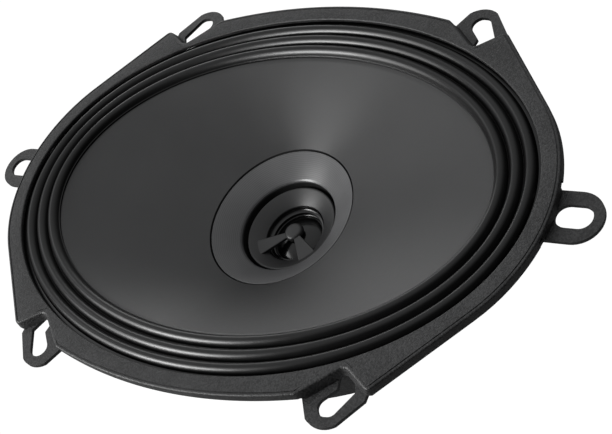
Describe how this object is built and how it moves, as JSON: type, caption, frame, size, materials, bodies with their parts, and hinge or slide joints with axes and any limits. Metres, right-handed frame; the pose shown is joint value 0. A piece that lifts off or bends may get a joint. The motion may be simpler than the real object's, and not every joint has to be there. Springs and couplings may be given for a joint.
{
  "type": "coaxial car speaker",
  "caption": "Oval coaxial car speaker with slotted ears, triple-roll surround, shallow cone and a post-mounted dome tweeter in its throat.",
  "frame": {"origin": "centre of the oval on the mounting plane, the underside of the fixing ears", "axes": "+Z faces the listener along the speaker's axis, +X runs along the oval's long axis through the two end ears, +Y along its short axis"},
  "size_m": [0.2182, 0.1382, 0.0643],
  "materials": {
    "frame_coat": "fine black powder coat",
    "surround_rubber": "satin rubber",
    "cone_pulp": "satin",
    "dust_plastic": "satin",
    "former_film": "satin",
    "coil_wire": "enamelled copper",
    "spider_cloth": "resin cloth",
    "motor_steel": "black plated",
    "ferrite": "matt sintered",
    "rivet_steel": "zinc plated",
    "board_plastic": "matt",
    "blade_tin": "tin plated brass",
    "capacitor_sleeve": "gloss sleeve",
    "lead_wire": "tinned",
    "wire_sleeve": "gloss",
    "tinsel_braid": "braided",
    "post_brass": "turned",
    "tweeter_plastic": "satin",
    "neodymium": "nickel plated",
    "plate_zinc": "zinc plated",
    "dome_film": "gloss black"
  },
  "bodies": {
    "frame": {"front_ring": "frame_coat", "basket": "frame_coat", "top_plate": "motor_steel", "magnet": "ferrite", "pole_yoke": "motor_steel", "plate_rivets": "rivet_steel", "terminal_board": "board_plastic", "terminal_positive": "blade_tin", "terminal_negative": "blade_tin", "board_rivets": "rivet_steel", "crossover_capacitor": "capacitor_sleeve", "capacitor_leads": "lead_wire", "tweeter_wires": "wire_sleeve", "tweeter_post": "post_brass", "tweeter_screw": "rivet_steel", "tweeter_housing": "tweeter_plastic", "tweeter_yoke": "motor_steel", "tweeter_magnet": "neodymium", "tweeter_pole_plate": "plate_zinc", "tweeter_faceplate": "tweeter_plastic"},
    "woofer": {"cone": "cone_pulp", "surround": "surround_rubber", "dust_ring": "dust_plastic", "voice_coil_former": "former_film", "voice_coil_winding": "coil_wire", "spider": "spider_cloth", "tinsel_leads": "tinsel_braid"},
    "tweeter": {"tweeter_dome": "dome_film", "tweeter_suspension": "dome_film", "tweeter_coil": "coil_wire"}
  },
  "joints": [
    {"name": "cone_stroke", "type": "slide", "parent": "frame", "child": "woofer", "axis": [0, 0, 1], "range_m": [-0.0045, 0.0045], "stiffness_N_per_m": 1500, "deforming": ["surround", "spider", "tinsel_leads"]},
    {"name": "dome_stroke", "type": "slide", "parent": "frame", "child": "tweeter", "axis": [0, 0, 1], "range_m": [-0.0003, 0.0003], "stiffness_N_per_m": 3000, "deforming": ["tweeter_suspension"]}
  ]
}
